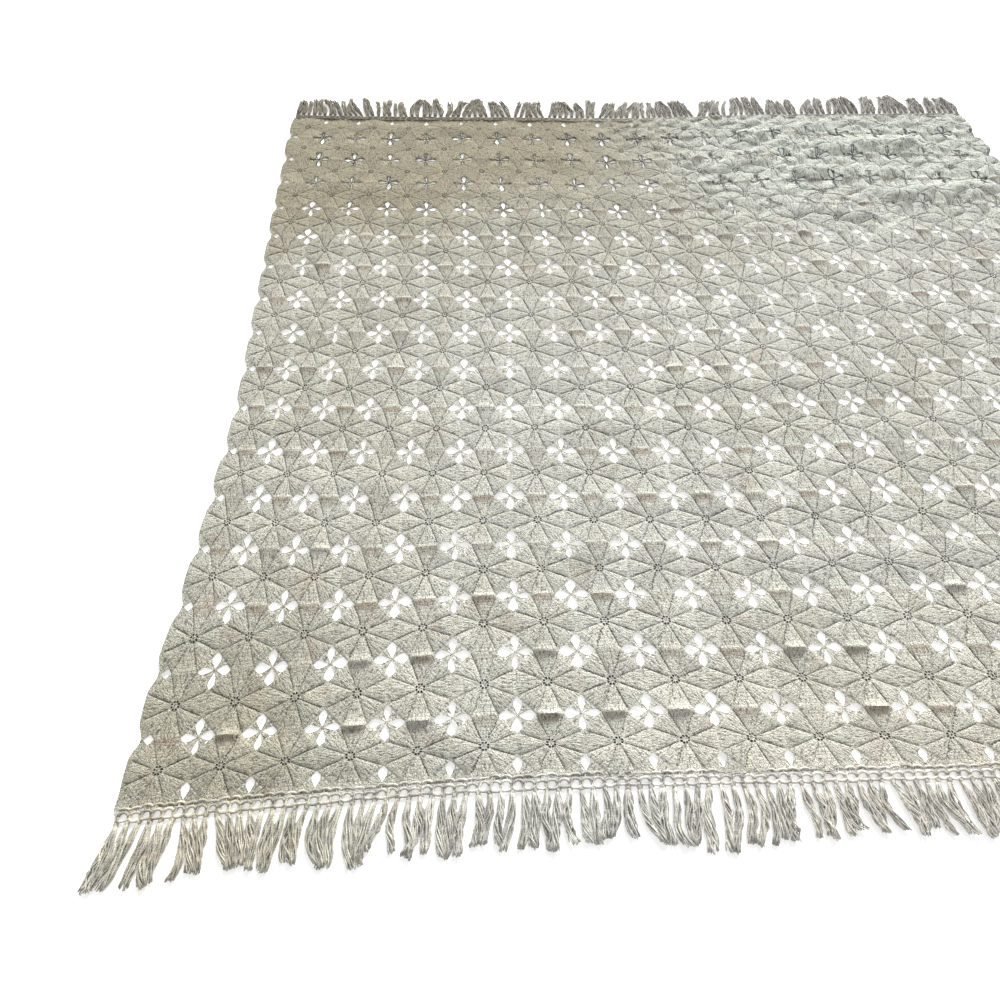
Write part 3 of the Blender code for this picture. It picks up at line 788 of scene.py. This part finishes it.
# a random painted light and shade for each sector, for how its stitches catch the light
sector_tone = maths(tree, "MULTIPLY_ADD", stitches.outputs["Sector Chance"], 0.20, 0.90)
tone = maths(tree, "MULTIPLY", speckle, sector_tone)
# the masks below paint shade into the slots, the open lines, the near slope of each join, the ring's holes and the
# shut petals, and a highlight onto the far slope of each join
for mask, change, level in (("Slot Shade", -0.66, 1.12), ("Open Line Shade", -0.92, 1.0), ("Join Highlight", 0.22, 1.0),
                            ("Join Shade", -0.12, 1.0), ("Hole Shade", -0.86, 1.0), ("Petal Shade", -0.85, 1.0)):
    tone = fade(tree, tone, maths(tree, "MULTIPLY_ADD", stitches.outputs[mask], change, level))
height = maths(tree, "ADD", stitches.outputs["Height"], maths(tree, "MULTIPLY", fuzz, 0.9))
colour_and_bump(crochet_cotton, cotton, tone, height, distance=0.0024)

for first, last in ((0, 4), (4, 8), (8, 11), (11, 14), (14, ROWS)):
    piece, flat_area = medallion_rows("medallion_rows_%02d_to_%02d" % (first + 1, last), first, last)
    piece.data.materials.append(crochet_cotton)
    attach(piece, "root")
    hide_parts("lace_field")


# The fringes. Along each long side the edging carries a row of short knotted posts, tied into a netted heading, and
# from each knot hangs a tassel of loose plied cotton. Six tassels go to a medallion, and they lie in bunches.
TASSELS_PER_MEDALLION = 6
TASSELS = TASSELS_PER_MEDALLION * COLUMNS
TASSEL_HALF_WIDTH = 0.005
BUNCH_SIZES = (2, 3, 3, 3, 4)                 # tassels that lie together, taken at random
SLIT = 0.003                                  # least width left between two bunches
LEAN_PLACES = (0, 0.5, 1.2, 3, 6, 10, 14, 20)  # columns at which the lean of the tassels is given
FRINGES = (
    {"name": "near", "line": -EDGING, "way": -1, "heading": 0.020, "length": 0.096, "uneven": 0.010,
     "lean": (-0.39, -0.38, 0.15, -0.15, -0.08, 0.02, 0.14, 0.08), "stray": 0.10, "tip_share": 0.78, "seed": 11,
     "strands": 15, "steps": 10, "strand": 0.0015, "half_width": 0.0086, "scatter": 0.0050,
     "cords": (0.0030, 0.0180)},
    {"name": "far", "line": ROWS + EDGING, "way": 1, "heading": 0.012, "length": 0.103, "uneven": 0.012,
     "lean": (-0.10, -0.09, -0.06, 0.00, 0.05, 0.05, 0.00, 0.00), "stray": 0.28, "tip_share": 0.74, "seed": 23,
     "strands": 10, "steps": 8, "strand": 0.0019, "half_width": 0.0082, "scatter": 0.0110,
     "cords": (0.0020, 0.0105)},
)


def bunches(fringe):
    """The tassels in groups that lie together, with each group's edges at the knots and at the tips."""
    draw = random.Random(fringe["seed"])
    groups = []
    first = 0
    while first < TASSELS:
        count = min(draw.choice(BUNCH_SIZES), TASSELS - first)
        if TASSELS - first - count == 1:
            count += 1
        last = first + count - 1
        left = (first + 0.5) / TASSELS_PER_MEDALLION
        right = (last + 0.5) / TASSELS_PER_MEDALLION
        lean = smooth_between(LEAN_PLACES, fringe["lean"], [0.5 * (left + right)])[0]
        lean += draw.uniform(-fringe["stray"], fringe["stray"])
        length = fringe["length"] + draw.uniform(-1.0, 1.0) * fringe["uneven"]
        knots = (left * PITCH - TASSEL_HALF_WIDTH, right * PITCH + TASSEL_HALF_WIDTH)
        half_tip = 0.5 * (knots[1] - knots[0]) * fringe["tip_share"]
        tip = 0.5 * (knots[0] + knots[1]) + lean * length
        groups.append({"knots": knots, "tips": (tip - half_tip, tip + half_tip), "length": length,
                       "tassels": (first, last)})
        first = last + 1
    for before, after in zip(groups, groups[1:]):
        short = before["tips"][1] + SLIT - after["tips"][0]
        if short > 0.0:
            after["tips"] = (after["tips"][0] + short, after["tips"][1] + short)
    return groups


def out_from_edge(fringe, along, outward, height):
    """Points by their distance along the edging, outward from it, and height, in metres."""
    along = np.asarray(along, float)
    edge = lay(along / PITCH, np.full(len(along), fringe["line"])) + CENTRING
    return np.stack((edge[:, 0], edge[:, 1] + fringe["way"] * np.asarray(outward), np.asarray(height)), axis=1)


def cords_mesh(name, lines, girths, sides):
    """Closed round cords along the given lines of points, with a UV of cord, turn and centimetres along it."""
    lines = np.array(lines)
    girths = np.array(girths)
    ahead = np.gradient(lines, axis=1)
    ahead /= np.linalg.norm(ahead, axis=2, keepdims=True)
    sideward = np.cross(ahead, (0.0, 0.0, 1.0))
    sideward /= np.linalg.norm(sideward, axis=2, keepdims=True)
    upward = np.cross(sideward, ahead)
    turn = np.arange(sides) * math.tau / sides
    points = (lines[:, :, None] + girths[:, :, None, None]
              * (np.cos(turn)[None, None, :, None] * sideward[:, :, None]
                 + np.sin(turn)[None, None, :, None] * upward[:, :, None]))
    count, steps = lines.shape[:2]
    number = np.arange(count * steps * sides).reshape(count, steps, sides)
    this = number[:, :-1]
    further = number[:, 1:]
    quads = np.stack((this, np.roll(this, -1, 2), np.roll(further, -1, 2), further), axis=3).reshape(-1, 4)
    faces = quads.tolist() + number[:, 0, ::-1].tolist() + number[:, -1].tolist()
    mesh = bpy.data.meshes.new(name)
    mesh.from_pydata(points.reshape(-1, 3).tolist(), [], faces)
    thread = mesh.uv_layers.new(name="threads")
    gone = np.linalg.norm(np.diff(lines, axis=1, prepend=lines[:, :1]), axis=2).cumsum(axis=1) * 100.0
    cord, step, side = np.meshgrid(np.arange(count), np.arange(steps), np.arange(sides), indexing="ij")
    values = np.stack((cord + 0.05 + 0.9 * side / sides, gone[cord, step]), axis=3).reshape(-1, 2)
    corner = np.zeros(len(mesh.loops), np.int32)
    mesh.loops.foreach_get("vertex_index", corner)
    thread.data.foreach_set("uv", values[corner].ravel())
    return mesh


# Cords of the netted heading: half thickness, and height of the middle of the cord where it starts, in metres.
HEADING_CORDS = {
    "post": {"girth": 0.0028, "height": 0.0030},
    "scallop": {"girth": 0.0026, "height": 0.0046},
    "upper loop": {"girth": 0.0036, "height": 0.0038},
    "lower loop": {"girth": 0.0034, "height": 0.0036},
    "tie": {"girth": 0.0021, "height": 0.0042},
}
SCALLOP_LINE = -0.0022                        # where the scallops start, on the edging
TIE_LINE = -0.0042                            # where the ties between scallops and upper loops start
POST_WAIST = 0.0014                           # half the distance between the two threads of a post, at its middle


def heading_mesh(fringe):
    """The netted heading: scallops of cord laid on the edging, two-thread posts down to the knots, and a loop of cord
    above and below between each two posts, which leaves a rounded opening there."""
    draw = np.random.default_rng(fringe["seed"] + 1)
    spacing = PITCH / TASSELS_PER_MEDALLION
    edge_cord, knot_cord = fringe["cords"]
    depth = 0.32 * (knot_cord - edge_cord)
    steps = 4
    share = np.linspace(0.0, 1.0, steps + 1)
    bow = np.sin(math.pi * share)
    arch = np.sqrt(1.0 - (2.0 * share - 1.0) ** 2)
    wander = draw.uniform(-0.0014, 0.0014, TASSELS)
    lines = []
    girths = []

    def cord(kind, along, outward, lift):
        lines.append(out_from_edge(fringe, along, outward, HEADING_CORDS[kind]["height"] + lift))
        girths.append(HEADING_CORDS[kind]["girth"] * draw.uniform(0.82, 1.18) * (1.0 - 0.22 * bow))

    for n in range(TASSELS):
        foot = (n + 0.5) * spacing
        head = foot + draw.uniform(-0.0018, 0.0018)
        for way in (-1.0, 1.0):
            flare = np.where(share < 0.5, draw.uniform(0.0026, 0.0046), 0.0020)
            waist = POST_WAIST + (2.0 * share - 1.0) ** 2 * flare
            cord("post", head + (foot - head) * share + way * waist,
                 edge_cord + (fringe["heading"] - edge_cord) * share, 0.0016 * bow + 0.0004 * way)
        if n == TASSELS - 1:
            continue
        drift = wander[n] + (wander[n + 1] - wander[n]) * share
        along = foot + spacing * share
        cord("scallop", along, SCALLOP_LINE + drift - draw.uniform(0.0020, 0.0048) * arch, 0.0010 * bow)
        cord("upper loop", along, edge_cord + depth + drift - (depth + draw.uniform(-0.0010, 0.0016)) * arch,
             0.0006 * bow)
        cord("lower loop", along, knot_cord - depth - drift + (depth + draw.uniform(-0.0030, 0.0010)) * arch,
             0.0006 * bow)
        tie = foot + spacing * draw.uniform(0.30, 0.70)
        cord("tie", tie + draw.uniform(-0.0025, 0.0025) * share, TIE_LINE + (edge_cord - TIE_LINE) * share,
             0.0006 * bow)
    return cords_mesh("heading_" + fringe["name"], lines, girths, 4)


def knot_mesh(fringe):
    """A flattened knot over the foot of each two posts."""
    ball = bmesh.new()
    bmesh.ops.create_icosphere(ball, subdivisions=2, radius=1.0)
    shape = np.array([corner.co for corner in ball.verts])
    faces = np.array([[corner.index for corner in face.verts] for face in ball.faces])
    ball.free()
    draw = random.Random(fringe["seed"] + 2)
    points = []
    triangles = []
    for tassel in range(TASSELS):
        along = (tassel + 0.5) * PITCH / TASSELS_PER_MEDALLION + draw.uniform(-0.0008, 0.0008)
        wide = draw.uniform(0.0042, 0.0060)
        deep = draw.uniform(0.0036, 0.0054)
        middle = out_from_edge(fringe, [along], [fringe["heading"] + draw.uniform(-0.0010, 0.0018)], [0.0036])[0]
        triangles.append(faces + len(points) * len(shape))
        points.append(middle + shape * np.array((wide, deep, 0.0032)))
    mesh = bpy.data.meshes.new("knots_" + fringe["name"])
    mesh.from_pydata(np.concatenate(points).tolist(), [], np.concatenate(triangles).tolist())
    mesh.uv_layers.new(name="threads")
    return mesh


# How far the tassels differ, in metres where they aren't shares.
BUNCH_BEND = 0.006                            # to either side, over a whole bunch
TASSEL_BEND = 0.0085                          # the same over one tassel
TIP_HOOK = 0.014                              # to either side at its tip
TASSEL_DEPTH = 0.0030                         # half thickness of the bundle
TWISTS = (-0.6 * math.pi, 1.9 * math.pi)
TANGLED_TASSELS = 0.16
LOOSE_STRANDS = {True: 0.20, False: 0.06}     # of a tangled tassel, and of any other
LOOSE_CRINKLE = 2.8                           # how much further a loose strand stands out


def tassel_mesh(fringe):
    """Every tassel as a loose bundle of crinkled strands, narrow at its knot and blunt at its tip."""
    draw = np.random.default_rng(fringe["seed"] + 3)
    share = np.linspace(0.0, 1.0, fringe["steps"] + 1)
    lines = []
    girths = []
    for group in bunches(fringe):
        first, last = group["tassels"]
        count = last - first + 1
        bunch_curl = draw.uniform(-BUNCH_BEND, BUNCH_BEND)
        for tassel in range(first, last + 1):
            knot = (tassel + 0.5) * PITCH / TASSELS_PER_MEDALLION
            tip = group["tips"][0] + (tassel - first + 0.5) / count * (group["tips"][1] - group["tips"][0])
            tip += draw.uniform(-1.0, 1.0) * fringe["scatter"]
            length = group["length"] * draw.uniform(0.88, 1.03)
            wide = fringe["half_width"] * draw.uniform(0.62, 1.08)
            deep = TASSEL_DEPTH * draw.uniform(0.8, 1.3)
            meander = draw.uniform(-TASSEL_BEND, TASSEL_BEND)
            meander = meander * np.sin(math.tau * draw.uniform(0.5, 1.1) * share) * share
            hook = draw.uniform(-TIP_HOOK, TIP_HOOK) * share ** 3
            middle = knot + (tip - knot) * share ** 1.1 + bunch_curl * np.sin(math.pi * share * 1.2) + meander + hook
            twist = draw.uniform(*TWISTS)
            begin = draw.uniform(0.0, math.tau)
            spread = 0.34 + 0.66 * np.sin(0.5 * math.pi * np.minimum(share / 0.45, 1.0))
            spread = spread * (1.0 + draw.uniform(-0.45, 0.15) * share ** 3)
            tangled = bool(draw.uniform(0.0, 1.0) < TANGLED_TASSELS)
            for strand in range(fringe["strands"]):
                inner = strand % 4 == 3
                turn = begin + twist * share + math.tau * strand / fringe["strands"] + draw.uniform(-0.3, 0.3)
                out = 0.45 if inner else 1.0
                loose = draw.uniform(0.0, 1.0) < LOOSE_STRANDS[tangled]
                crinkle = draw.uniform(0.0009, 0.0022) * (LOOSE_CRINKLE if loose else 1.0)
                wave = np.sin(math.tau * draw.uniform(1.2, 3.0) * share + draw.uniform(0.0, math.tau))
                along = middle + out * wide * spread * np.sin(turn) + crinkle * wave * np.minimum(3.0 * share, 1.0)
                along = along + draw.uniform(-1.0, 1.0) * 0.0030 * share ** 5
                own_length = length * draw.uniform(0.965, 1.01) * (1.0 - 0.03 * abs(math.sin(turn[-1])))
                outward = fringe["heading"] + own_length * share
                height = fringe["strand"] * 1.1 + deep * spread * (1.0 + out * np.cos(turn))
                height = height + 0.0008 * (1.0 + wave) * (2.0 if loose else 1.0)
                lines.append(out_from_edge(fringe, along, outward, height))
                girths.append(fringe["strand"] * draw.uniform(0.8, 1.15) * (1.0 - 0.15 * share ** 8))
    return cords_mesh("tassels_" + fringe["name"], lines, girths, 4)


# the loose plied cotton of the tassels and the heading
fringe_cotton = cotton_material("fringe_cotton", 0.85, 0.3)
tree = fringe_cotton.node_tree
body_place = tree.nodes.new("ShaderNodeTexCoord")
threads = tree.nodes.new("ShaderNodeUVMap")
threads.uv_map = "threads"
parts = tree.nodes.new("ShaderNodeSeparateXYZ")
tree.links.new(threads.outputs["UV"], parts.inputs[0])
spread_tones = tree.nodes.new("ShaderNodeGroup")
spread_tones.node_tree = khaki_and_stains
tree.links.new(body_place.outputs["Object"], spread_tones.inputs["Place"])
cotton = blended(tree, spread_tones.outputs["Khaki"], (0.560, 0.565, 0.525, 1.0), (0.430, 0.390, 0.290, 1.0))
cotton = blended(tree, maths(tree, "MULTIPLY", spread_tones.outputs["Stain"], 0.3), cotton, (0.30, 0.21, 0.13, 1.0))
over = tree.nodes.new("ShaderNodeSeparateXYZ")
tree.links.new(body_place.outputs["Object"], over.inputs[0])
cotton = blended(tree, eased(tree, over.outputs["X"], -0.45, 0.10, 0.0, 0.7), cotton, (0.660, 0.625, 0.560, 1.0))
thread_tone = chance(tree, maths(tree, "FLOOR", parts.outputs["X"]), 3.0)
fuzz = noise(tree, body_place.outputs["Object"], 420.0, 2.0, 0.6)
# the ply twist: raised in the bump, with painted shade in its grooves
ply = maths(tree, "MULTIPLY_ADD", parts.outputs["Y"], 2.2 * math.tau,
            maths(tree, "MULTIPLY", maths(tree, "FRACT", parts.outputs["X"]), 2.0 * math.tau))
ply = maths(tree, "MULTIPLY_ADD", maths(tree, "SINE", ply), 0.5, 0.5)
clumps = noise(tree, body_place.outputs["Object"], 75.0, 2.0, 0.5)
# the far fringe is painted darker, as painted shade of its own pile
tone = fade(tree, maths(tree, "MULTIPLY_ADD", thread_tone, 0.45, 0.72), maths(tree, "MULTIPLY_ADD", fuzz, 1.1, 0.50),
            maths(tree, "MULTIPLY_ADD", ply, 0.08, 0.96), eased(tree, clumps, 0.35, 0.65, 0.74, 1.16),
            eased(tree, over.outputs["Y"], 1.02, 1.08, 1.0, 0.55))
height = maths(tree, "ADD", fuzz, maths(tree, "MULTIPLY", ply, 0.25))
colour_and_bump(fringe_cotton, cotton, tone, height, distance=0.0008, strength=0.8)

for fringe in FRINGES:
    for label, mesh in (("fringe_heading_", heading_mesh(fringe)), ("fringe_knots_", knot_mesh(fringe)),
                        ("fringe_tassels_", tassel_mesh(fringe))):
        mesh.shade_smooth()
        piece = bpy.data.objects.new(label + fringe["name"], mesh)
        bpy.context.scene.collection.objects.link(piece)
        mesh.materials.append(fringe_cotton)
        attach(piece, "root")
        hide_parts("fringe_" + fringe["name"])
